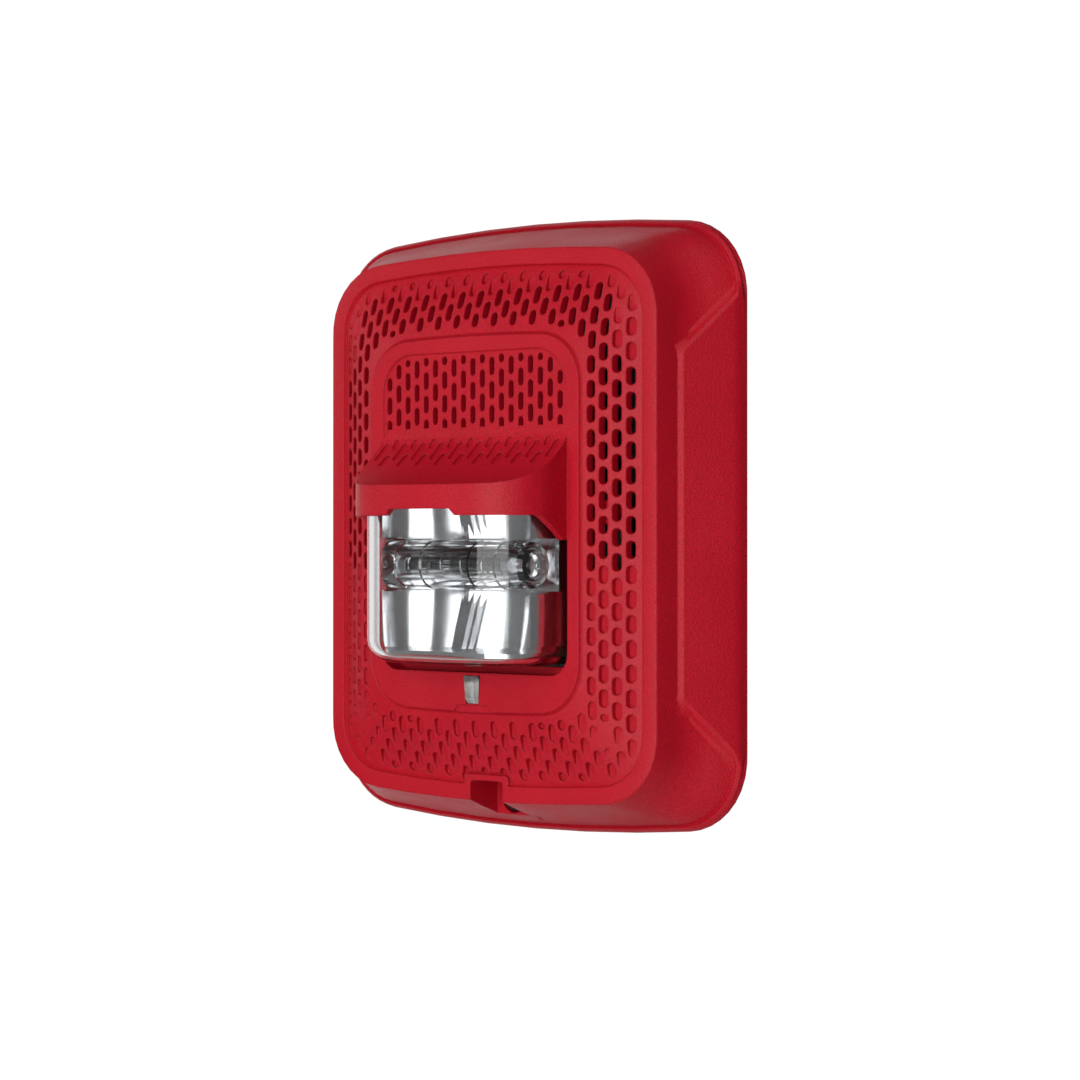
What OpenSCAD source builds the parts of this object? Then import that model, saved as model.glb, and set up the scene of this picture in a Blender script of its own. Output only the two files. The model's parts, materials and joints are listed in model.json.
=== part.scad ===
/* [Shell] */
// Width of the shell at the wall
shell_w = 120; // [118:0.5:124]
// Height of the shell at the wall
shell_h = 143; // [141:0.5:147]
// Rise of the bowed top and bottom edges
edge_bow = 4.3; // [3.6:0.1:4.6]
// Width of the front bezel
bezel_w = 97.3; // [96:0.1:98]
// Height of the front bezel
bezel_h = 127.8; // [127:0.1:129]

/* [Grille] */
// Width of one grille slot
slot_w = 1.9; // [1.4:0.05:2.1]
// Length of one grille slot
slot_l = 4.1; // [3.2:0.1:4.4]
// Column pitch of the grille
pitch_x = 2.8; // [2.7:0.05:2.8]
// Column pitch of the middle grille
core_x = 2.83; // [2.75:0.01:2.84]
// Width of the slots in the middle grille
core_w = 1.55; // [1.2:0.05:1.8]
// Length of the slots in the middle grille
core_l = 4.1; // [3.2:0.1:4.2]
// Row pitch of the grille
pitch_z = 5.5; // [5.4:0.05:5.8]
// Depth of the blind slots
blind_d = 0.9; // [0.5:0.1:1.1]

/* [Strobe] */
// Half width of the hood
hood_hw = 27.7; // [27.4:0.1:28]
// How far the hood's front stands from the wall
hood_front = 45.6; // [44.5:0.1:47]
// Lens wall thickness
lens_t = 1.5; // [1.2:0.1:1.8]
// Radius of the lens's lower edge
lens_r = 5.4; // [4.6:0.1:5.8]
// Radius of the flash tube
tube_r = 1.9; // [1.5:0.1:2.2]

/* [Wall plate] */
// Thickness of the mounting plate
plate_t = 2; // [1.8:0.1:2.2]
// Radius of the hinge bars
bar_r = 1.1; // [1:0.05:1.2]
// Radial play of the hinge hooks on the bars
bar_play = 0.06; // [0.03:0.01:0.1]
// Radius of a box screw hole
box_hole_r = 2.2; // [2:0.05:2.4]

/* [Sounder] */
// Centre height of the sounder
drv_z = 25.5; // [25.3:0.1:25.8]
// Radius of the sounder's magnet
magnet_r = 11; // [10:0.5:11]

/* [Hidden] */
$fn = 48;
red = [0.72, 0.09, 0.13];
hw = shell_w / 2;
hh = shell_h / 2;
bw = bezel_w / 2;
bh = bezel_h / 2;
tube_z = -8.9;
scr_z = -63.6;
bar_y = -3;
bar_z = 65.6;
hook_x = 18;
pcb_y = -18.4;
drv = [0, 0, drv_z];
terms = [-15, -5, 5, 15];

// Height of a bowed, round-cornered outline over the point x.
function rise(x, w, h, b, r) = let(a = abs(x), t = a - (w - r)) h - b * pow(min(a, w - r) / w, 2) - (t > 0 ? r - sqrt(max(0, r * r - t * t)) : 0);
// One quarter of an outline, from the middle of the side up to the middle of the top.
function quarter(w, h, b, r, zp, k = 9, t = 3) = let(zc = rise(w - r, w, h, b, r) - r, ze = zc + r * sin(84), xe = w - r + r * cos(84))
    concat([[w, 0], [w, zp * 0.55], [w, zp - 2], [w, zp + 1.5]],
        [for (i = [0:k]) [w - r + r * cos(84 * i / k), zc + r * sin(84 * i / k)]],
        [for (i = [1:t]) let(x = xe * (1 - i / t)) [x, h - (h - ze) * pow(x / xe, 2)]]);
function whole(q, zo = 0) = let(n = len(q)) concat([for (p = q) [p[0], p[1] + zo]], [for (i = [n - 2:-1:0]) [-q[i][0], q[i][1] + zo]],
    [for (i = [1:n - 1]) [-q[i][0], zo - q[i][1]]], [for (i = [n - 2:-1:1]) [q[i][0], zo - q[i][1]]]);
// The same quarter with its points gathered below the height zk, where a side pad fades into the corner.
function pad_quarter(w, h, b, r, zk, k, t) = let(zc = rise(w - r, w, h, b, r) - r, ze = zc + r * sin(84), xe = w - r + r * cos(84),
        a0 = zk > zc ? asin((zk - zc) / r) : 0, l1 = max(0, zc - zk), l2 = r * (84 - a0) * PI / 180)
    concat([[w, 0], [w, zk * 0.5]],
        [for (i = [0:3]) let(z = zk - 4.4 + 4.4 * i / 3) [z <= zc ? w : w - r + sqrt(r * r - (z - zc) * (z - zc)), z]],
        [for (i = [1:k]) let(d = (l1 + l2) * i / k, a = a0 + (d - l1) / r * 180 / PI) d < l1 ? [w, zk + d] : [w - r + r * cos(a), zc + r * sin(a)]],
        [for (i = [1:t]) let(x = xe * (1 - i / t)) [x, h - (h - ze) * pow(x / xe, 2)]]);
// A layer is [y, half width, half height, bow, corner radius, z where the side pad ends, pad y, pad half width, z offset,
// z where the pad fades out].
function fade(t) = let(u = max(0, min(1, t))) u * u * (3 - 2 * u);
function layer(l, k = 9, t = 3) = let(q = whole(pad_quarter(l[1], l[2], l[3], l[4], is_undef(l[9]) ? l[5] + 2 : l[9], k, t)), py = is_undef(l[6]) ? l[0] : l[6], pw = is_undef(l[7]) ? l[1] : l[7], zo = is_undef(l[8]) ? 0 : l[8])
    [for (p = q) let(f = is_undef(l[9]) ? 0 : fade((l[9] - abs(p[1])) / 4.4))
        [p[0] + sign(p[0]) * f * (pw - l[1]), l[0] + f * (py - l[0]), p[1] + zo]];
module loft(layers) {
    n = len(layers[0]);
    m = len(layers);
    e = n * m;
    polyhedron(points = concat([for (l = layers) each l], [[0, layers[0][0][1], 0], [0, layers[m - 1][0][1], 0.5]]),
        faces = concat([for (i = [0:n - 1]) [e, i, (i + 1) % n]], [for (i = [0:n - 1]) [e + 1, (m - 1) * n + (i + 1) % n, (m - 1) * n + i]],
        [for (j = [0:m - 2], i = [0:n - 1]) let(k = (i + 1) % n) each [[j * n + i, (j + 1) * n + i, (j + 1) * n + k], [j * n + i, (j + 1) * n + k, j * n + k]]]), convexity = 8);
}
outer_layers = [
    [-0.8, hw - 2, hh - 2, edge_bow, 15.4, 47], [-1.6, hw - 0.6, hh - 0.6, edge_bow, 16.7, 48], [-2.6, hw, hh, edge_bow, 17.3, 48.5],
    [-3.9, hw - 0.5, hh - 0.45, edge_bow, 16.9, 48.5, -3.9, hw - 0.3, 0, 56.6], [-4.6, hw - 1.4, hh - 1, edge_bow, 16.2, 48.5, -5, hw - 0.7, 0, 55.5],
    [-4.1, hw - 2.1, hh - 1.5, edge_bow, 15.6, 48, -6, hw - 1.4, 0, 54.1], [-6, hw - 3.4, hh - 2, edge_bow - 0.2, 15.4, 47.5, -8, hw - 3, 0, 51.6],
    [-8.5, hw - 6.1, hh - 3, 4, 15.4, 46.5, -10.6, hw - 5.1, 0, 48.2], [-12, hw - 9, hh - 4.4, 3.6, 15.6, 44.5, -14.35, bw + 3, 0, 43.5],
    [-14.2, (hw + bw) / 2 - 4.3, hh - 5.2, 3.4, 15.6, 42.5, -14.75, bw + 2.75, 0, 42.5],
    [-16, bw + 0.75, hh - 5.8, 3.2, 15.7, 41, -15.5, bw + 1.5, 0, 41.4], [-20.4, bw, bh, 2.87, 15.7, 40.5], [-21, bw - 0.25, bh - 0.25, 2.87, 15.5, 40.5], [-21.2, bw - 0.9, bh - 0.9, 2.85, 14.9, 40],
    [-21.2, bw - 3.9, bh - 3.9, 2.75, 12.2, 39.5], [-20.5, bw - 4.2, bh - 4.2, 2.7, 12, 39], [-22, 41.6, 56.1, 2.5, 12, 37.5], [-23.5, 38.8, 52.5, 2.2, 11.9, 35], [-24.8, 36, 49, 1.8, 11.9, 32],
    [-25.95, 31.5, 43.8, 1, 11.9, 27, -25.95, 31.5, 0.5], [-25.55, 31.2, 43.5, 1, 11.7, 27, -25.55, 31.2, 0.5], [-26.4, 30.8, 43.1, 1, 11.4, 27, -26.4, 30.8, 0.5]];
inner_layers = [
    [0.5, hw - 2.6, hh - 2.6, edge_bow, 14.9, 47], [-2.2, hw - 2.8, hh - 2.8, edge_bow, 14.8, 47], [-4.2, hw - 4.4, hh - 3.8, edge_bow, 13.8, 46.5, -4.2, hw - 3.5, 0, 48],
    [-8.5, hw - 8.5, hh - 5.2, 4, 13.4, 45, -8.5, hw - 6.2, 0, 44], [-12, hw - 11.3, hh - 6.6, 3.6, 13.6, 43, -12, hw - 9, 0, 40], [-16, bw - 1.5, hh - 8.1, 3.2, 13.6, 41], [-19, bw - 2.1, bh - 2.1, 2.85, 13.6, 40.5],
    [-18.4, bw - 4.5, bh - 4.5, 2.7, 11.7, 39], [-20.3, 40.7, 54.9, 2.4, 11.6, 37], [-22.4, 36.2, 49.2, 1.8, 11.5, 33], [-23.7, 31.2, 43.2, 1, 11.5, 27, -23.7, 31.2, 0.5], [-24.1, 30.6, 42.8, 1, 11.2, 27, -24.1, 30.6, 0.5]];

// Front surface of the grille ring over the point (x, z).
function ring_f(x, z) = max(0, min(1, min((bw - 4.2 - abs(x)) / (bw - 35.7), (rise(x, bw - 4.2, bh - 4.2, 2.7, 12) - abs(z)) / (bh - 47.5))));
function ring_y(x, z) = lookup(ring_f(x, z), [[0, -20.5], [0.22, -22], [0.44, -23.5], [0.65, -24.8], [1, -25.95]]);
// Slots of one column, cut back to a span of heights: each is [x, low, high].
function column(i, lo, hi, px = pitch_x, z0 = 2.85, l = slot_l) = let(x = i * px, s = (i % 2 == 0) ? 0 : 0.5) [for (j = [-12:12]) let(c = (j + s) * pitch_z + z0, a = max(lo, c - l / 2), b = min(hi, c + l / 2)) if (b - a > slot_w * 0.8) [x, a, b]];
ring_cols = [for (i = [-15:15]) let(x = i * pitch_x, o = rise(x, bw - 5.2, bh - 5.4, 2.7, 11)) each
    (abs(x) > 32.4 ? column(i, -o, o) : concat(column(i, rise(x, 33, 45.4, 1, 12) + 0.3, o), column(i, -o, 0.7 - rise(x, 33, 45.4, 1, 12))))];
function is_open(s) = let(m = (s[1] + s[2]) / 2, x = abs(s[0])) m > -9.5 && !(x > 41 && m > 35.5) && !(x > 38 && m > 38.5) && m < 53;
open_slots = [for (s = ring_cols) if (is_open(s)) s];
// Small locating pin near the two lower corners; the slots above and below it are cut short.
pin_x = 13 * pitch_x;
pin_z = -46.5;
blind_slots = [for (s = ring_cols) if (!is_open(s)) (abs(abs(s[0]) - pin_x) < 0.5 && s[1] > pin_z - 6 && s[2] < pin_z + 6) ? (s[1] > pin_z - 0.8 ? [s[0], pin_z + 3, s[2]] : [s[0], s[1], pin_z - 3]) : s];
core_slots = [for (i = [-9:9]) each column(i, 20.9, rise(i * core_x, 26.4, 39.4, 0.6, 8), core_x, 3.55, core_l)];
slope_slots = [for (i = [-9:9]) each column(i, 13.9, 20.2, core_x, 3.55, core_l)];

module slot(s, width = slot_w) {
    w = width / 2;
    c = min(w, (s[2] - s[1]) / 2 - 0.02);
    polygon(concat([for (a = [0:36:180]) [s[0] + w * cos(a), s[2] - c + c * sin(a)]], [for (a = [180:36:360]) [s[0] + w * cos(a), s[1] + c + c * sin(a)]]));
}
// Extrude an outline drawn in X and Z, from y = a to y = b.
module front(a, b) {
    translate([0, b, 0]) rotate([90, 0, 0]) linear_extrude(b - a) children();
}
// Extrude an outline drawn in Y and Z, over x = -w to w.
module side(w) {
    rotate([90, 0, 90]) translate([0, 0, -w]) linear_extrude(2 * w) children();
}
module box3(a, b) {
    translate([min(a[0], b[0]), min(a[1], b[1]), min(a[2], b[2])]) cube([abs(b[0] - a[0]), abs(b[1] - a[1]), abs(b[2] - a[2])]);
}
// A cylinder along Y from y = a to y = b at (x, z).
module rod(x, z, r, a, b, n = 48) {
    translate([x, max(a, b), z]) rotate([90, 0, 0]) cylinder(h = abs(b - a), r = r, $fn = n);
}
// A cylinder along X.
module bar(y, z, r, a, b, n = 48) {
    translate([a, y, z]) rotate([0, 90, 0]) cylinder(h = b - a, r = r, $fn = n);
}
module rounded(x0, z0, x1, z1, r) {
    union() {
        translate([x0 + r, z0]) square([x1 - x0 - 2 * r, z1 - z0]);
        translate([x0, z0 + r]) square([x1 - x0, z1 - z0 - 2 * r]);
        for (x = [x0 + r, x1 - r], z = [z0 + r, z1 - r]) translate([x, z]) circle(r = r);
    }
}
// Plan outline of the hood and the lens, inset by d.
function plan(d) = let(w = hood_hw - d, f = hood_front - d, r = 14.6 - d * 0.6, n = 10, yc = -(f - 1.1 - r)) concat([[w, -20], [w, yc]],
    [for (i = [1:n]) [w - r + r * cos(90 * i / n), yc - r * sin(90 * i / n)]], [for (x = [8, 4, 0, -4, -8]) [x, -f + 1.1 * pow(x / (w - r), 2)]],
    [for (i = [0:n - 1]) [-w + r - r * sin(90 * i / n), yc - r * cos(90 * i / n)]], [[-w, yc], [-w, -20]]);
// Side outline of the hood: concave top, upright front.
hood_top = concat([[-25.9, 22.8], [-26.1, 21.4], [-26.4, 20.3], [-26.95, 19.2]], [for (i = [1:10]) let(t = i / 10) [-25.9 - 19.1 * t, 20.1 - 10.8 * (1 - pow(1 - t, 1.85)) ]]);

// Side pieces of the hood that run down beside the lens.
module hood_cheeks() {
    intersection() {
        translate([0, 0, -4]) linear_extrude(7) difference() {
            polygon(plan(0));
            polygon(plan(1.7));
        }
        side(40) polygon([[-34.7, 2.3], [-34.7, 3], [-23, 3], [-23, -3.2], [-27.6, -3.2]]);
    }
}
module front_cover() color(red) difference() {
    union() {
        difference() {
            loft([for (l = outer_layers) layer(l)]);
            loft([for (l = inner_layers) layer(l, 5, 2)]);
            front(-30, -15) for (s = open_slots) slot(s);
            front(-30, -15) for (s = core_slots) slot(s, core_w);
            for (s = blind_slots) front(-30, ring_y(s[0], (s[1] + s[2]) / 2) + blind_d) slot(s);
            for (x = [-pin_x, pin_x]) difference() {
                rod(x, pin_z, 1.05, -30, ring_y(x, pin_z) + 0.4, 32);
                rod(x, pin_z, 0.65, -31, 0, 32);
            }
            // Recess of the middle grille
            front(-30, -26.1) intersection() {
                rounded(-27.2, -60, 27.2, 40.1, 8.8);
                translate([-40, 19]) square([80, 40]);
            }
            // Groove round the screw notch
            front(-30, -20.5) intersection() {
                rounded(-7.2, -66, 7.2, -56.8, 1.4);
                translate([-10, -59.6]) square([20, 4]);
            }
        }
        // Hood over the lens
        difference() {
            intersection() {
                translate([0, 0, 2.3]) linear_extrude(30) polygon(plan(0));
                side(40) polygon(concat(hood_top, [[-50, 9.1], [-50, 2.3], [-23.6, 2.3], [-23.6, 22.8]]));
            }
            intersection() {
                translate([0, 0, 0]) linear_extrude(30) polygon(plan(1.7));
                side(40) polygon(concat([for (p = hood_top) [p[0] + 0.4, p[1] - 1.7]], [[-50, 7.4], [-50, 0], [-20, 0], [-20, 21.1]]));
            }
            // Shallow grooves that carry the grille pattern down the slope
            intersection() {
                front(-60, -22) for (s = slope_slots) slot(s, core_w);
                side(40) polygon(concat([for (p = hood_top) [p[0] - 1, p[1] + 0.3]], [for (i = [13:-1:0]) [hood_top[i][0] + 0.3, hood_top[i][1] - 0.35]]));
            }
            front(-60, -40) polygon([[-10.4, 2.2], [-8.8, 3.8], [8.8, 3.8], [10.4, 2.2], [10.4, 1], [-10.4, 1]]);
        }
        hood_cheeks();
        // Raised rim round the screw notch
        front(-21.2, -19.6) rounded(-6.5, -61, 6.5, -57.5, 0.9);
        // Walls and ledge round the lens
        front(-24.3, -20.3) rounded(-hood_hw - 1.7, -35.3, hood_hw + 1.7, 6, 4);
        // Screw tunnel at the bottom
        side(6.4) polygon([[-20.4, -57.4], [-6.6, -57.4], [-6.6, -69], [-9, -68.4], [-20.4, -62.8]]);
        // Hooks that hang on the plate's bars
        for (x = [-hook_x, hook_x]) box3([x - 3.5, -5.4, bar_z - 1.1], [x + 3.5, -1.2, 69.2]);
        // Bosses for the rear cover and the board
        for (x = [-44, 44], z = [-49.5, 49.5]) rod(x, z, 3.2, -20.2, -5.45);
        for (x = [-35, 35], z = [-49, 3]) rod(x, z, 2.6, z < 0 ? -20.8 : -22.3, pcb_y - 0.02);
    }
    // Opening for the lens
    difference() {
        front(-40, -21.5) difference() {
            rounded(-hood_hw, -33.7, hood_hw, 20, 5);
            translate([-40, 2.3]) square([80, 40]);
        }
        hood_cheeks();
    }
    // Notch in the lower edge of the middle panel, under the scale window
    front(-30, -25.95) polygon([[-6.4, -46], [-6.4, -44.5], [-4.4, -41.2], [4.4, -41.2], [6.4, -44.5], [6.4, -46]]);
    box3([-hood_hw + 1.8, -27.6, 2], [hood_hw - 1.8, -10, 7.3]);
    front(-25, -10) difference() {
        rounded(-hood_hw + 1.8, -32, hood_hw - 1.8, 20, 3);
        translate([-40, 7.3]) square([80, 40]);
    }
    // Window for the candela scale
    front(-30, -15) polygon([[-1.85, -40.85], [1.85, -40.85], [2.4, -34.35], [-2.4, -34.35]]);
    // Screw channel and its bore
    front(-30, -11) union() {
        rounded(-4.85, -90, 4.85, -58.9, 0.9);
    }
    rod(0, scr_z, 3.5, -12, -8.6);
    rod(0, scr_z, 1.36, -12, -5);
    for (x = [-hook_x, hook_x]) {
        bar(bar_y, bar_z, bar_r + bar_play, x - 5, x + 5);
        box3([x - 5, bar_y - bar_r - bar_play, 60], [x + 5, bar_y + bar_r + bar_play, bar_z]);
    }
    for (x = [-44, 44], z = [-49.5, 49.5]) rod(x, z, 1.4, -16, -5);
    for (x = [-35, 35], z = [-49, 3]) rod(x, z, 1.2, -20.6, -15);
}

module mounting_plate() color([0.66, 0.1, 0.13]) difference() {
    union() {
        front(-plate_t, 0) polygon(whole(quarter(54, 63, 4, 12, 30)));
        for (z = [-64, 64]) front(-plate_t, 0) translate([-9, z < 0 ? -66.4 : 58]) square([18, 5]);
        rod(0, scr_z, 3.6, -4.6, 0);
        for (x = [-hook_x, hook_x]) {
            bar(bar_y, bar_z, bar_r, x - 5.2, x + 5.2);
            for (s = [-1, 1]) side_cheek(x + s * 4.7);
        }
        for (x = [-48, 48]) box3([x - 1, -3, -42], [x + 1, -1, 42]);
        for (z = [-52, 52]) box3([-40, -3, z - 1], [40, -1, z + 1]);
    }
    box3([-19, -5, 5], [19, 1, 24]);
    box3([-30, -5, -36], [30, 1, -17]);
    rod(0, scr_z, 1.9, -6, 1);
    for (z = [-41.65, 41.65], x = [-23, 0, 23]) rod(x, z, box_hole_r, -5, 1);
    for (x = [-40, 40]) box3([x - 5, -5, -8], [x + 5, 1, 22]);
}
module side_cheek(x) {
    translate([x, 0, 0]) side(0.8) polygon([[0, 59], [0, 63.6], [-1.2, 66.3], [-2.4, 66.8], [-3.6, 66.6], [-4.3, 65.8], [-4.1, 64.2], [-2, 61.4], [-2, 59]]);
}

module terminal_block() color([0.12, 0.12, 0.13]) difference() {
    box3([-20, -13.9, -11], [20, -plate_t, 3]);
    for (x = terms) {
        box3([x - 4, -20, -9.6], [x + 4, -9.4, 2]);
        rod(x, -4.6, 1.75, -10, -3.2);
        box3([x - 2.6, -20, -12], [x + 2.6, -10.6, -9]);
    }
}
module terminal_clamps() color([0.8, 0.66, 0.35]) for (x = terms) difference() {
    union() {
        box3([x - 3.7, -10.4, -9.2], [x + 3.7, -9.42, 1.7]);
        box3([x - 2.6, -13.95, 0.3], [x + 2.6, -9.42, 1.7]);
    }
    rod(x, -4.6, 1.75, -15, -8);
}
module terminal_screws() color([0.7, 0.7, 0.72]) for (x = terms) difference() {
    union() {
        rod(x, -4.6, 3.1, -12.6, -10.42);
        rod(x, -4.6, 1.65, -10.5, -3.3);
    }
    box3([x - 4, -13, -5.05], [x + 4, -11.8, -4.15]);
    box3([x - 0.45, -13, -8], [x + 0.45, -11.8, -1]);
}
module shorting_spring() color([0.78, 0.7, 0.45]) union() {
    box3([-16, -3.2, -12.6], [6, -2.02, -11.05]);
    box3([-16, -10.2, -11.9], [-14, -3.2, -11.05]);
    box3([4, -10.2, -11.9], [6, -3.2, -11.05]);
    box3([-6, -8.6, -12.6], [-4, -3.2, -12]);
}

module acoustic_mesh() color([0.1, 0.1, 0.1]) front(-23.46, -23.16) rounded(-26, 21, 26, 41.6, 7);

// Lens body, inset by d, with a rounded lower edge that follows its outline.
function lens_ring(d, z, back) = [for (p = plan(d)) [p[0], p[1] > -20.1 ? back : p[1], z]];
module lens_solid(d, back) {
    r = lens_r - d;
    z0 = -31.5 + d;
    rings = concat([for (i = [0:8]) let(a = 90 * i / 8) lens_ring(2.2 + d + r * (1 - sin(a)), z0 + r * (1 - cos(a)), back)], [lens_ring(2.2 + d, 6.9 - d, back)]);
    n = len(rings[0]);
    m = len(rings);
    e = n * m;
    polyhedron(points = concat([for (l = rings) each l], [[0, -30, z0], [0, -30, 6.9 - d]]),
        faces = concat([for (i = [0:n - 1]) [e, (i + 1) % n, i]], [for (i = [0:n - 1]) [e + 1, (m - 1) * n + i, (m - 1) * n + (i + 1) % n]],
        [for (j = [0:m - 2], i = [0:n - 1]) let(k = (i + 1) % n) each [[j * n + i, (j + 1) * n + k, (j + 1) * n + i], [j * n + i, j * n + k, (j + 1) * n + k]]]), convexity = 6);
}
module lens() color([0.9, 0.93, 0.95, 0.35]) difference() {
    union() {
        lens_solid(0, -20.25);
        front(-20.25, -19.05) rounded(-hood_hw + 0.3, -33.9, hood_hw - 0.3, 6.8, 4);
    }
    lens_solid(lens_t, -10);
    front(-21, -18) rounded(-hood_hw + 3.8, -29.9, hood_hw - 3.8, 5.3, 3.4);
}
optic_end = [[0.9, 22.2], [3, 22.2], [4.6, 21.4], [5.4, 20.4], [5.6, 19.4], [5.6, 15], [5.2, 14.8], [5.2, 14.2], [5.6, 14], [5.6, 7.6], [5.2, 7.4], [5.2, 6.8], [5.6, 6.6]];
module optic_bar() color([0.92, 0.95, 0.97, 0.4]) difference() {
    translate([0, -30.2, tube_z]) rotate([0, 90, 0]) rotate_extrude($fn = 72) polygon(concat(optic_end, [for (i = [12:-1:0]) [optic_end[i][0], -optic_end[i][1]]],
        [[0.9, -21.2], [3.1, -21.2], [3.1, 21.2], [0.9, 21.2]]));
    box3([-18.2, -30.2, tube_z - 3.2], [18.2, -20, tube_z + 3.2]);
}
module indicator_window() color([0.9, 0.93, 0.95, 0.45]) difference() {
    union() {
        front(-26.5, -22) polygon([[-1.8, -40.8], [1.8, -40.8], [2.34, -34.4], [-2.34, -34.4]]);
        front(-22, -20.6) polygon([[-1.8, -40.8], [1.8, -40.8], [2.2, -35.9], [-2.2, -35.9]]);
    }
    side(3) polygon([[-26.6, -41], [-26.6, -39.4], [-25.6, -40.9], [-25.6, -41]]);
}
// Each mirror bowl is deepest beside the tube and comes forward above and below it.
function dip(z) = 0.022 * pow(max(0, abs(z - tube_z) - 5), 1.6);
module bowl(r0) {
    rotate_extrude($fn = 96) polygon(concat([[0, 6]], [for (z = [6, 1.5, -3, -9, -14.7, -18.4, -22, -25.4, -28.5]) [r0 - dip(z), z]], [[0, -28.5]]));
}
module reflector() color([0.85, 0.86, 0.88]) difference() {
    union() {
        difference() {
            union() {
                intersection() {
                    union() {
                        translate([0, 0, -29.4]) linear_extrude(2) polygon(plan(6.1));
                        translate([0, 0, -28.4]) linear_extrude(2) polygon(plan(5.2));
                        translate([0, 0, -27]) linear_extrude(12.2) polygon(plan(4.4));
                    }
                    front(-38, -22.4) rounded(-hood_hw + 4.4, -29.4, hood_hw - 4.4, 20, 3.6);
                }
                intersection() {
                    translate([0, 0, -2.9]) linear_extrude(7.6) polygon(plan(4.4));
                    box3([-30, -38, -40], [30, -22.4, 10]);
                }
                box3([-22.6, -23.7, -26], [22.6, -22.4, 4.7]);
            }
            for (s = [-1, 1]) {
                intersection() {
                    translate([s * 11.4, -43.2, 0]) bowl(20);
                    box3([0, -70, -40], [s * 11.4, 0, 10]);
                }
                intersection() {
                    translate([s * 11.4, -34, 0]) bowl(10.8);
                    box3([s * 11.4, -70, -40], [s * 30, 0, 10]);
                }
                box3([s * 11.4, -60, -28.5], [s * 30, -33, 10]);
            }
        }
        // Faceted web between the two bowls
        for (w = [[3.6, 0], [2.3, 0.9], [1, 1.7]]) {
            side(w[0]) polygon([[-22.6, -14.8], [-24.4 - w[1], -14.8], [-29.2 - w[1], -28.9], [-22.6, -28.9]]);
            side(w[0]) polygon([[-22.6, -2.9], [-24.4 - w[1], -2.9], [-26.6 - w[1], 4.7], [-22.6, 4.7]]);
        }
    }
    for (s = [-1, 1]) rod(s * 15, tube_z, 2.6, -26, -20);
    bar(-30.4, tube_z, 6.3, -30, 30);
    rod(0, tube_z, 0.8, -26, -20);
}
module flash_tube() color([0.93, 0.95, 0.97, 0.4]) difference() {
    bar(-30.2, tube_z, tube_r, -14, 14);
    bar(-30.2, tube_z, tube_r - 0.6, -13.2, 13.2);
}
module tube_electrodes() color([0.75, 0.75, 0.77]) for (s = [-1, 1]) union() {
    bar(-30.2, tube_z, tube_r + 0.05, s * 15 - 0.98, s * 15 + 0.98);
    rod(s * 15, tube_z, 0.7, -30.2, pcb_y - 0.02);
}
module trigger_wire() color([0.75, 0.45, 0.3]) union() {
    for (x = [-9, -3, 3, 9]) translate([x, -30.2, tube_z]) rotate([0, 90, 0]) rotate_extrude() translate([tube_r + 0.32, 0]) circle(r = 0.22, $fn = 16);
    bar(-30.2 + tube_r + 0.32, tube_z, 0.22, -9, 9, 16);
    rod(0, tube_z, 0.35, -28, pcb_y - 0.02);
}
module lamp_holder() color([0.93, 0.93, 0.91]) difference() {
    union() {
        box3([-19, -22.3, -14], [19, -20.6, -3.8]);
        for (x = [-17, 17]) rod(x, tube_z, 1.8, -20.8, pcb_y - 0.02);
        for (x = [-15, 15]) rod(x, tube_z, 2.3, -25.5, -20.6);
    }
    for (x = [-15, 15]) rod(x, tube_z, 0.8, -30, -15);
    rod(0, tube_z, 0.8, -30, -15);
}

module circuit_board() color([0.1, 0.35, 0.2]) difference() {
    front(pcb_y, pcb_y + 1.6) rounded(-39, -53, 39, 6.8, 2);
    for (x = [-35, 35], z = [-49, 3]) rod(x, z, 1.5, -20, -15);
    box3([-8.2, -20, -39.2], [8.2, -15, -36.8]);
    for (x = terms) rod(x, 1, 0.82, -20, -15);
}
module board_screws() color([0.7, 0.7, 0.72]) for (x = [-35, 35], z = [-49, 3]) difference() {
    union() {
        rod(x, z, 2.5, pcb_y + 1.62, pcb_y + 3);
        rod(x, z, 1.15, -20.4, pcb_y + 2);
    }
    box3([x - 1.6, pcb_y + 2.3, z - 0.3], [x + 1.6, pcb_y + 3.2, z + 0.3]);
    box3([x - 0.3, pcb_y + 2.3, z - 1.6], [x + 0.3, pcb_y + 3.2, z + 1.6]);
}
module storage_capacitor() color([0.12, 0.14, 0.2]) difference() {
    union() {
        bar(-11.7, -47.6, 4.9, -12, 14);
        for (z = [-49.6, -45.6]) {
            bar(-11.7, z, 0.4, 13.9, 16.4, 24);
            rod(16, z, 0.4, -11.7, pcb_y + 1.62, 24);
        }
    }
    translate([-12.02, -11.7, -47.6]) rotate([0, 90, 0]) difference() {
        cylinder(h = 0.6, r = 4.4);
        cylinder(h = 0.6, r = 3.9);
    }
}
module trigger_transformer() color([0.75, 0.6, 0.2]) union() {
    box3([20.5, pcb_y + 1.62, -33], [31.5, -14.6, -22]);
    box3([21.5, -14.6, -32], [30.5, -9, -30]);
    box3([21.5, -14.6, -25], [30.5, -9, -23]);
    translate([26, -11.8, -30]) cylinder(h = 5, r = 3.9);
}
module choke_coil() color([0.2, 0.2, 0.22]) union() {
    rod(27.5, -41.5, 4.6, pcb_y + 1.62, -15.6);
    rod(27.5, -41.5, 3.7, -15.7, -9.6);
    rod(27.5, -41.5, 4.6, -9.8, -8.6);
}
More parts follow.
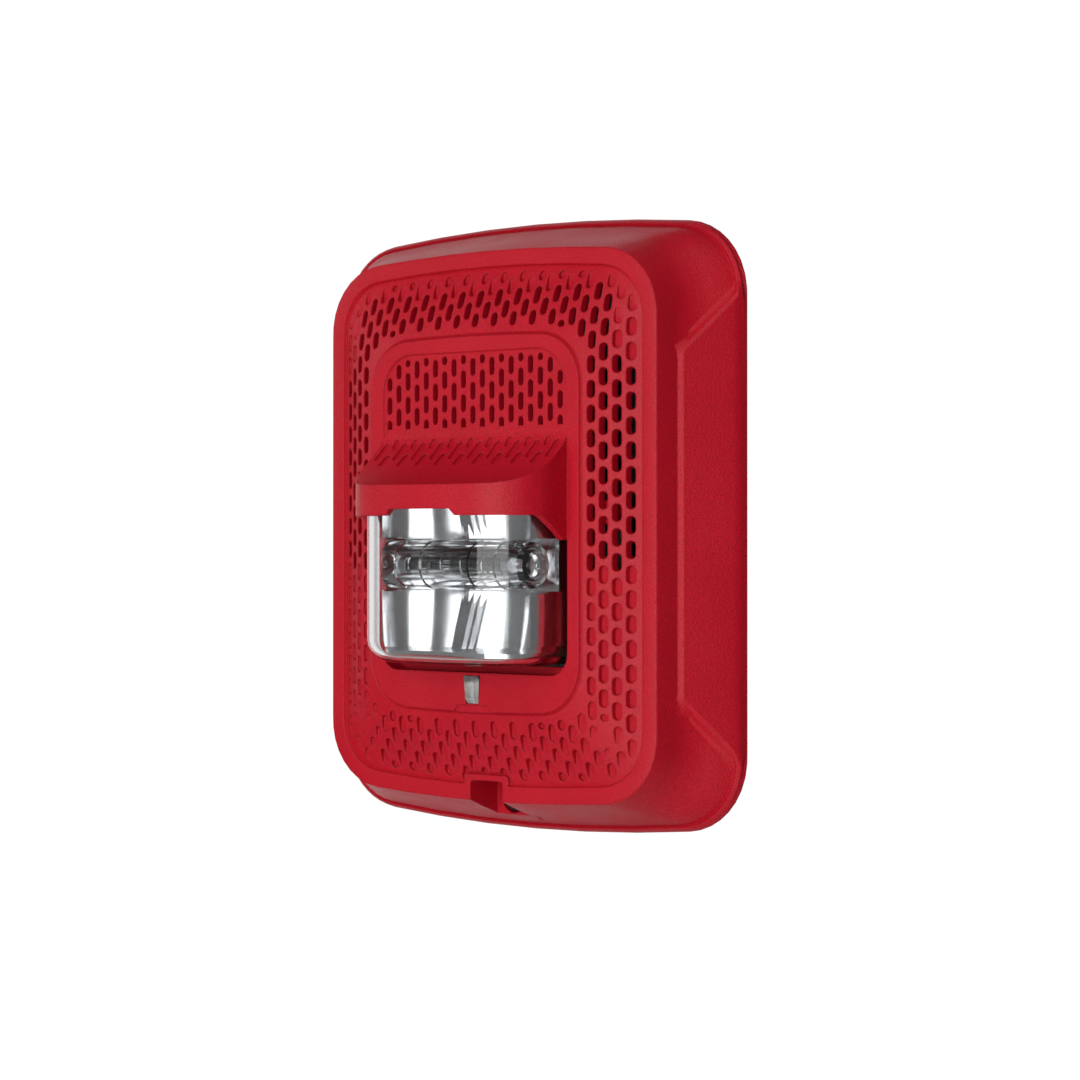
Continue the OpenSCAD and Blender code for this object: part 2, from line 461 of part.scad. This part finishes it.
module board_chips() color([0.1, 0.1, 0.11]) for (c = [[-32, -12, 7, 6, 1.7], [31.5, -11, 6, 8, 1.7], [-14, -24, 9, 6, 1.9], [10, -23, 6, 5, 1.5], [-28.5, -1, 5, 4, 1.3]])
    box3([c[0] - c[2] / 2, pcb_y + 1.62, c[1] - c[3] / 2], [c[0] + c[2] / 2, pcb_y + 1.62 + c[4], c[1] + c[3] / 2]);
module board_resistors() color([0.78, 0.7, 0.55]) for (i = [0:6]) box3([-32.5 + i * 2.4, pcb_y + 1.62, -19.8], [-31.3 + i * 2.4, pcb_y + 2.2, -17.6]);
module selector_base() color([0.14, 0.14, 0.15]) difference() {
    box3([-11, pcb_y + 1.62, -41.8], [11, -8.6, -34.4]);
    box3([-8.4, -20, -39.3], [8.4, -5, -36.7]);
    box3([-9.6, -13.2, -40.4], [9.6, -10.4, -35.6]);
}
module tone_base() color([0.15, 0.2, 0.3]) difference() {
    box3([-32.5, pcb_y + 1.62, -35], [-21.5, -8.6, -24]);
    rod(-27, -29.5, 4.06, -13.5, -8);
    rod(-27, -29.5, 1.56, -15.5, -8);
}
module contact_pins() color([0.82, 0.7, 0.4]) for (x = terms) union() {
    rod(x, 1, 0.8, -18.9, -14.4, 24);
    rod(x, 1, 1.4, -15.6, -14.05, 24);
}

module driver_basket() color([0.3, 0.3, 0.32]) translate(drv) difference() {
    rotate([90, 0, 0]) rotate_extrude($fn = 72) polygon([[14.9, 21.2], [17.5, 21.2], [17.5, 22.4], [15.8, 22.4], [11.8, 17.2], [4.9, 17.2], [4.9, 15.65], [11.4, 15.65], [12.4, 16.2]]);
    for (a = [0:60:300]) rotate([0, a + 30, 0]) translate([13.2, -16, 0]) rotate([90, 0, 0]) cylinder(h = 5, r = 1.7);
}
module driver_gasket() color([0.08, 0.08, 0.08]) translate(drv) rotate([90, 0, 0]) rotate_extrude($fn = 72) translate([15.6, 22.42]) square([1.8, 0.7]);
module driver_surround() color([0.1, 0.1, 0.1]) translate(drv) rotate([90, 0, 0]) rotate_extrude($fn = 72) difference() {
    translate([13.95, 21.5]) circle(r = 0.85, $fn = 32);
    translate([13.95, 21.5]) circle(r = 0.55, $fn = 32);
    translate([12, 19]) square([5, 2.45]);
}
module front_pole_plate() color([0.6, 0.6, 0.62]) translate(drv) difference() {
    rod(0, 0, magnet_r, -15.6, -14.22);
    rod(0, 0, 4.7, -17, -12);
}
module ring_magnet() color([0.16, 0.16, 0.17]) translate(drv) difference() {
    rod(0, 0, magnet_r, -14.2, -9.7);
    rod(0, 0, 6.2, -17, -5);
}
module yoke() color([0.62, 0.62, 0.64]) translate(drv) union() {
    rod(0, 0, magnet_r, -9.68, -8);
    rod(0, 0, 3.9, -15.5, -9);
}
module driver_leads() color([0.75, 0.1, 0.1]) for (d = [-1, 1]) union() {
    box3([d * 26.1, -16.74, 4], [d * 26.9, -15.94, 17.4]);
    box3([d * 13, -16.74, 16.6], [d * 26.9, -15.94, 17.4]);
}
module diaphragm() color([0.2, 0.19, 0.17]) translate(drv) rotate([90, 0, 0]) rotate_extrude($fn = 72) polygon([[0, 19.9], [2.2, 19.6], [4.5, 18.3], [4.5, 17.9], [5, 18], [12.7, 21.2], [12.7, 21.6], [12.4, 21.6], [5.2, 18.6], [4.6, 18.7], [2.3, 20], [0, 20.3]]);
module voice_coil() color([0.72, 0.42, 0.2]) translate(drv) rotate([90, 0, 0]) rotate_extrude($fn = 72) translate([4.15, 13]) square([0.28, 5.05]);

module back_cover() color([0.16, 0.16, 0.17]) difference() {
    union() {
        front(-5.4, -3.6) polygon(whole(quarter(52.6, 62.2, 3.8, 12, 30)));
        box3([-24, -16.2, -16], [24, -4, 9]);
        translate(drv) difference() {
            rod(0, 0, 9, -7.95, -5);
            rod(0, 0, 7, -9, -5.4);
        }
    }
    box3([-22.5, -14.9, -14.5], [22.5, 0, 7.5]);
    for (x = terms) rod(x, 1, 1.7, -20, -12);
    box3([-7, -10, -80], [7, 0, -56.5]);
    for (x = [-44, 44], z = [-49.5, 49.5]) rod(x, z, 1.6, -8, 0);
    box3([-8.6, -10, -40.2], [8.6, 0, -35.8]);
    rod(-27, -29.5, 4.5, -10, 0);
    for (x = [-hook_x, hook_x]) box3([x - 6.5, -10, 60], [x + 6.5, 0, 70]);
}
module back_screws() color([0.7, 0.7, 0.72]) for (x = [-44, 44], z = [-49.5, 49.5]) difference() {
    union() {
        rod(x, z, 2.7, -3.58, -2.6);
        rod(x, z, 1.34, -15, -3);
    }
    box3([x - 1.6, -3, z - 0.3], [x + 1.6, -2, z + 0.3]);
    box3([x - 0.3, -3, z - 1.6], [x + 0.3, -2, z + 1.6]);
}

module candela_slider() color([0.9, 0.9, 0.88]) union() {
    box3([-1.8, -19.2, -38.9], [1.8, -8.2, -37.1]);
    box3([-3.2, -12.9, -40.1], [3.2, -10.7, -35.9]);
    box3([-2.4, -8.3, -39.4], [2.4, -3.3, -36.6]);
}
module candela_strip() color([0.95, 0.95, 0.93]) difference() {
    box3([-10, -20.3, -40.5], [10, -19.22, -35.5]);
    for (i = [-3:3]) box3([i * 2.5 - 0.15, -20.6, -40], [i * 2.5 + 0.15, -20.1, -39]);
}
module tone_rotor() color([0.92, 0.92, 0.9]) difference() {
    union() {
        rod(-27, -29.5, 4, -13.4, -3.6);
        rod(-27, -29.5, 1.5, -15.2, -13);
    }
    box3([-30.2, -5, -29.9], [-23.8, -3, -29.1]);
    box3([-27.4, -5, -32.6], [-26.6, -3, -29.5]);
}
module screw_washer() color([0.9, 0.88, 0.82]) difference() {
    rod(0, scr_z, 2.8, -9.2, -8.62);
    rod(0, scr_z, 1.36, -11, -8);
}
module mount_screw() color([0.72, 0.72, 0.74]) difference() {
    union() {
        translate([0, -9.22, scr_z]) rotate([90, 0, 0]) rotate_extrude() polygon([[0, 0], [3.1, 0], [3.1, 1.1], [2.7, 1.8], [1.9, 2.2], [0, 2.3]]);
        rod(0, scr_z, 1.3, -10, -2.9);
        rod(0, scr_z, 1.6, -2.9, -1.3);
        translate([0, -1.3, scr_z]) rotate([-90, 0, 0]) cylinder(h = 0.7, r1 = 1.6, r2 = 1);
    }
    box3([-2.2, -15, scr_z - 0.4], [2.2, -10.5, scr_z + 0.4]);
    box3([-0.4, -15, scr_z - 2.2], [0.4, -10.5, scr_z + 2.2]);
}

mounting_plate();
terminal_block();
terminal_clamps();
terminal_screws();
shorting_spring();
front_cover();
acoustic_mesh();
lens();
optic_bar();
indicator_window();
reflector();
flash_tube();
tube_electrodes();
trigger_wire();
lamp_holder();
circuit_board();
board_screws();
storage_capacitor();
trigger_transformer();
choke_coil();
board_chips();
board_resistors();
selector_base();
tone_base();
contact_pins();
driver_basket();
driver_gasket();
driver_surround();
front_pole_plate();
ring_magnet();
yoke();
driver_leads();
back_cover();
back_screws();
diaphragm();
voice_coil();
candela_slider();
candela_strip();
tone_rotor();
screw_washer();
mount_screw();
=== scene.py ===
import bpy, math, json
import numpy as np
from mathutils import Vector, Matrix

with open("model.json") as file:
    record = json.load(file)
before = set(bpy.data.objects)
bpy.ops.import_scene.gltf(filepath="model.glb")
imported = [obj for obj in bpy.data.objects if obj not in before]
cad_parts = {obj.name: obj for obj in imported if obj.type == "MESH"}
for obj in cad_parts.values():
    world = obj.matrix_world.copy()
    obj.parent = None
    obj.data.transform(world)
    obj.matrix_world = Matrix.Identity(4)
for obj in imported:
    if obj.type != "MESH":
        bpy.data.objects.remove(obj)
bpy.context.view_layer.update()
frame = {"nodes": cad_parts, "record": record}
NODES = frame["nodes"]
scene = bpy.context.scene
scene.view_settings.view_transform = "Standard"
scene.view_settings.look = "None"


# ---------------------------------------------------------------- materials
def lin(c):
    return tuple(((v / 255) / 12.92 if v / 255 <= 0.04045 else ((v / 255 + 0.055) / 1.055) ** 2.4) for v in c)


def material(name, rgb, rough=0.45, metal=0.0, spread=0.06, rough_var=0.08, grain=0.0, grain_size=0.0006, blotch=0.02,
             coat=0.0, trans=0.0, ior=1.5, streak=None, wear=0.0, wear_rgb=None, spec=0.5, bevel=0.0, alpha=1.0, wave=0.0, speck=0.0):
    """Procedural surface: broad tone drift, fine grain, gloss variation and rubbed high spots."""
    m = bpy.data.materials.new(name)
    m.use_nodes = True
    nt = m.node_tree
    N, L = nt.nodes, nt.links
    N.clear()
    out = N.new("ShaderNodeOutputMaterial")
    p = N.new("ShaderNodeBsdfPrincipled")
    L.new(p.outputs[0], out.inputs[0])
    tc = N.new("ShaderNodeTexCoord")
    src = tc.outputs["Object"]
    if streak:
        mp = N.new("ShaderNodeMapping")
        mp.inputs["Scale"].default_value = streak
        L.new(src, mp.inputs[0])
        src = mp.outputs[0]

    def noise(scale, detail=3.0, rgh=0.55):
        n = N.new("ShaderNodeTexNoise")
        n.inputs["Scale"].default_value = scale
        n.inputs["Detail"].default_value = detail
        n.inputs["Roughness"].default_value = rgh
        L.new(src, n.inputs["Vector"])
        return n.outputs["Fac"]

    def ramp(fac, a, b, lo=0.3, hi=0.7):
        r = N.new("ShaderNodeMapRange")
        r.inputs["From Min"].default_value, r.inputs["From Max"].default_value = lo, hi
        r.inputs["To Min"].default_value, r.inputs["To Max"].default_value = a, b
        L.new(fac, r.inputs["Value"])
        return r.outputs[0]

    def mix(fac, a, b):
        x = N.new("ShaderNodeMix")
        x.data_type = "RGBA"
        L.new(fac, x.inputs["Factor"])
        for s, v in ((6, a), (7, b)):
            if hasattr(v, "is_linked"):
                L.new(v, x.inputs[s])
            else:
                x.inputs[s].default_value = (*v, 1)
        return x.outputs[2]

    broad, fine = noise(1 / blotch, 4.0), noise(1 / max(grain_size, 1e-4), 2.0, 0.6)
    dark = tuple(max(0.0, v * (1 - spread)) for v in rgb)
    lite = tuple(min(1.0, v * (1 + spread) + 0.004 * spread) for v in rgb)
    colour = mix(ramp(broad, 0, 1), dark, lite)
    colour = mix(ramp(fine, 0, 0.5), colour, tuple(v * (1 - 0.6 * spread) for v in rgb))
    if speck > 0:
        colour = mix(ramp(fine, 0, 1, 0.44, 0.6), colour, tuple(v * (1 - speck) for v in rgb))
    if wear > 0:
        worn = ramp(noise(420.0, 6.0, 0.7), 0, wear, 0.66, 0.76)
        colour = mix(worn, colour, wear_rgb or tuple(min(1, v * 1.5 + 0.05) for v in rgb))
    L.new(colour, p.inputs["Base Color"])
    add = N.new("ShaderNodeMath")
    add.operation = "ADD"
    L.new(ramp(broad, rough - rough_var * 0.5, rough + rough_var * 0.5), add.inputs[0])
    L.new(ramp(fine, -rough_var * 0.3, rough_var * 0.3), add.inputs[1])
    L.new(add.outputs[0], p.inputs["Roughness"])
    p.inputs["Metallic"].default_value = metal
    p.inputs["Coat Weight"].default_value = coat
    p.inputs["Transmission Weight"].default_value = trans
    p.inputs["IOR"].default_value = ior
    p.inputs["Specular IOR Level"].default_value = spec
    last = None
    if bevel > 0:
        bv = N.new("ShaderNodeBevel")
        bv.samples = 4
        bv.inputs["Radius"].default_value = bevel
        last = bv.outputs[0]
    if wave > 0:
        b0 = N.new("ShaderNodeBump")
        b0.inputs["Strength"].default_value = 1.0
        b0.inputs["Distance"].default_value = wave
        L.new(noise(90.0, 1.0), b0.inputs["Height"])
        if last:
            L.new(last, b0.inputs["Normal"])
        last = b0.outputs[0]
    if grain > 0:
        b = N.new("ShaderNodeBump")
        b.inputs["Strength"].default_value = 1.0
        b.inputs["Distance"].default_value = grain
        L.new(fine, b.inputs["Height"])
        if last:
            L.new(last, b.inputs["Normal"])
        last = b.outputs[0]
    if last:
        L.new(last, p.inputs["Normal"])
    return m


RED = (0.54, 0.0018, 0.0155)
MATS = {
    "red_shell": material("red_moulding", RED, 0.44, spread=0.08, grain=0.00011, grain_size=0.0004, rough_var=0.12, wear=0.08, wear_rgb=(0.58, 0.02, 0.03), bevel=0.00055, spec=0.3, speck=0.2),
    "red_plate": material("red_plate_moulding", (0.36, 0.010, 0.016), 0.55, spread=0.08, grain=0.00004, grain_size=0.0008, wear=0.15, bevel=0.0003),
    "black_plastic": material("black_moulding", (0.018, 0.018, 0.02), 0.5, spread=0.2, grain=0.00003, grain_size=0.0006, wear=0.2, wear_rgb=(0.06, 0.06, 0.062), bevel=0.0003),
    "white_plastic": material("ivory_moulding", (0.72, 0.71, 0.66), 0.42, spread=0.05, grain=0.00002, grain_size=0.0007, bevel=0.0002),
    "clear": material("clear_polycarbonate", (0.97, 0.98, 0.985), 0.035, spread=0.01, rough_var=0.03, trans=1.0, ior=1.45, blotch=0.008),
    "clear_optic": material("clear_optic_polycarbonate", (0.98, 0.985, 0.99), 0.07, spread=0.01, rough_var=0.03, trans=1.0, ior=1.5, blotch=0.006),
    "tube_glass": material("tube_glass", (0.97, 0.98, 0.98), 0.02, spread=0.01, rough_var=0.02, trans=1.0, ior=1.46, blotch=0.006),
    "chromed": material("metallised_reflector", (0.86, 0.87, 0.885), 0.2, metal=1.0, spread=0.03, rough_var=0.08, blotch=0.012, wave=0.00006, wear=0.05, wear_rgb=(0.7, 0.7, 0.7)),
    "brass": material("stamped_brass", (0.62, 0.42, 0.16), 0.32, metal=1.0, spread=0.1, rough_var=0.15, grain=0.00001, wear=0.2, bevel=0.0002),
    "steel": material("zinc_steel", (0.52, 0.53, 0.55), 0.34, metal=1.0, spread=0.08, rough_var=0.16, grain=0.00001, wear=0.2, wear_rgb=(0.66, 0.66, 0.66), bevel=0.00015),
    "spring_metal": material("spring_bronze", (0.55, 0.42, 0.24), 0.3, metal=1.0, spread=0.08, rough_var=0.12, streak=(1, 8, 8), bevel=0.0001),
    "board": material("solder_mask", (0.006, 0.028, 0.014), 0.34, spread=0.12, rough_var=0.1, grain=0.00001, coat=0.3),
    "can": material("capacitor_sleeve", (0.012, 0.016, 0.04), 0.28, spread=0.15, rough_var=0.1, bevel=0.0003),
    "copper": material("enamelled_copper", (0.5, 0.19, 0.07), 0.28, metal=1.0, spread=0.1, rough_var=0.1, streak=(9, 9, 1)),
    "tape": material("winding_tape", (0.52, 0.33, 0.03), 0.35, spread=0.1, rough_var=0.12, grain=0.00002, coat=0.2),
    "ferrite": material("sintered_ferrite", (0.03, 0.03, 0.033), 0.55, spread=0.25, rough_var=0.2, grain=0.00004, grain_size=0.0004, wear=0.3, bevel=0.0003),
    "chip": material("chip_epoxy", (0.012, 0.012, 0.013), 0.55, spread=0.2, grain=0.00002, grain_size=0.0003, bevel=0.0001),
    "resistor": material("resistor_ceramic", (0.45, 0.36, 0.22), 0.5, spread=0.1, bevel=0.0001),
    "blue_plastic": material("blue_moulding", (0.02, 0.05, 0.18), 0.4, spread=0.1, grain=0.00002, bevel=0.0002),
    "mesh": material("woven_cloth", (0.012, 0.012, 0.012), 0.85, spread=0.4, grain=0.0001, grain_size=0.0003),
    "foam": material("closed_cell_foam", (0.015, 0.015, 0.015), 0.9, spread=0.3, grain=0.0001, grain_size=0.0004),
    "rubber": material("surround_rubber", (0.016, 0.016, 0.017), 0.5, spread=0.2, grain=0.00003, grain_size=0.0005),
    "cone": material("pressed_paper", (0.035, 0.032, 0.028), 0.8, spread=0.25, grain=0.00008, grain_size=0.0004),
    "wire": material("wire_jacket", (0.4, 0.01, 0.012), 0.4, spread=0.1),
    "basket": material("painted_pressing", (0.03, 0.03, 0.033), 0.4, spread=0.15, grain=0.00002, wear=0.2, wear_rgb=(0.2, 0.2, 0.2), bevel=0.0002),
    "nylon": material("natural_nylon", (0.66, 0.62, 0.5), 0.45, spread=0.06),
    # near-black steel: on the mount screw this dark colour is painted shade for the shadowed screw channel
    "dark_steel": material("darkened_steel_painted_shade", (0.06, 0.058, 0.06), 0.42, metal=1.0, spread=0.15, rough_var=0.15, grain=0.00001, wear=0.2, wear_rgb=(0.3, 0.3, 0.3), bevel=0.0001),
    "nickel": material("nickel_wire", (0.56, 0.55, 0.52), 0.25, metal=1.0, spread=0.06, rough_var=0.1, streak=(9, 9, 1)),
    "scale": material("white_scale_strip", (0.78, 0.78, 0.74), 0.3, spread=0.04, bevel=0.0001),
}
SLOT_OF = {s["node"]: s["material_slot"] for s in frame["record"]["subparts"]}
SLOT_OF["trigger_wire"] = "nickel"
# the mount screw takes the dark steel as painted shade, so the screw head reads as the shaded depth of its channel
SLOT_OF["mount_screw"] = "dark_steel"
SLOT_OF["screw_washer"] = "rubber"
for name, o in NODES.items():
    o.data.materials.clear()
    o.data.materials.append(MATS[SLOT_OF[name]])
    me = o.data
    me.polygons.foreach_set("use_smooth", [True] * len(me.polygons))
    me.update()
    wd = o.modifiers.new("weld", "WELD")
    wd.merge_threshold = 0.000002
    es = o.modifiers.new("split", "EDGE_SPLIT")
    es.use_edge_angle, es.use_edge_sharp, es.split_angle = True, False, math.radians(24)


# ---------------------------------------------------------------- stage
def stage_disc(name, radius, z, mat):
    me = bpy.data.meshes.new(name)
    n = 96
    me.from_pydata([(radius * math.cos(2 * math.pi * i / n), radius * math.sin(2 * math.pi * i / n), z) for i in range(n)], [], [list(range(n))])
    o = bpy.data.objects.new(name, me)
    scene.collection.objects.link(o)
    me.materials.append(mat)
    return o


floor_mat = material("pale_floor", (0.80, 0.80, 0.79), 0.6, spread=0.01, rough_var=0.05, blotch=0.3)
stage_disc("floor", 0.55, -0.36, floor_mat)

world = bpy.data.worlds.new("studio")
scene.world = world
world.use_nodes = True
WN, WL = world.node_tree.nodes, world.node_tree.links
bg = WN["Background"]
wtc = WN.new("ShaderNodeTexCoord")
dot = WN.new("ShaderNodeVectorMath")
dot.operation = "DOT_PRODUCT"
dot.inputs[1].default_value = (-0.62, 0.7846, 0.0)
WL.new(wtc.outputs["Generated"], dot.inputs[0])
glow = WN.new("ShaderNodeMapRange")
glow.interpolation_type = "SMOOTHSTEP"
glow.inputs["From Min"].default_value, glow.inputs["From Max"].default_value = 0.55, 0.88
glow.inputs["To Min"].default_value, glow.inputs["To Max"].default_value = 0.13, 1.02
WL.new(dot.outputs["Value"], glow.inputs["Value"])
bg.inputs[0].default_value = (1, 1, 1, 1)
WL.new(glow.outputs[0], bg.inputs[1])


def area(name, loc, target, size, power, col=(1, 1, 1), sy=None):
    d = bpy.data.lights.new(name, "AREA")
    d.energy = power
    d.size = size
    d.color = col
    if sy:
        d.shape = "RECTANGLE"
        d.size_y = sy
    o = bpy.data.objects.new(name, d)
    scene.collection.objects.link(o)
    o.location = loc
    o.rotation_mode = "QUATERNION"
    o.rotation_quaternion = (Vector(target) - Vector(loc)).to_track_quat("-Z", "Y")
    return o


area("front_box", (0.20, -0.85, 0.05), (0, 0, 0), 1.05, 5.9, sy=0.8)
area("top_box", (0.15, -0.45, 0.62), (0, 0, 0), 0.6, 1.0, sy=0.3)
area("low_box", (0.15, -0.62, -0.30), (0, 0, 0), 0.8, 0.7, sy=0.14)
area("left_box", (-0.85, -0.35, 0.25), (0, 0, 0), 0.3, 0.9, sy=0.4)

# ---------------------------------------------------------------- camera
az, el, dist = math.radians(38.37), math.radians(-0.25), 0.629
back = Vector((math.sin(az) * math.cos(el), -math.cos(az) * math.cos(el), math.sin(el)))
cd = bpy.data.cameras.new("camera")
cam = bpy.data.objects.new("camera", cd)
scene.collection.objects.link(cam)
cam.location = back * dist
cam.rotation_mode = "QUATERNION"
cam.rotation_quaternion = (-back).to_track_quat("-Z", "Y")
cd.sensor_width = 36.0
cd.lens = 4.21 * 629 / 1080 * 36.0
cd.shift_x = -3.18 / 1080
cd.shift_y = -13.66 / 1080
cd.clip_start, cd.clip_end = 0.01, 20
scene.camera = cam
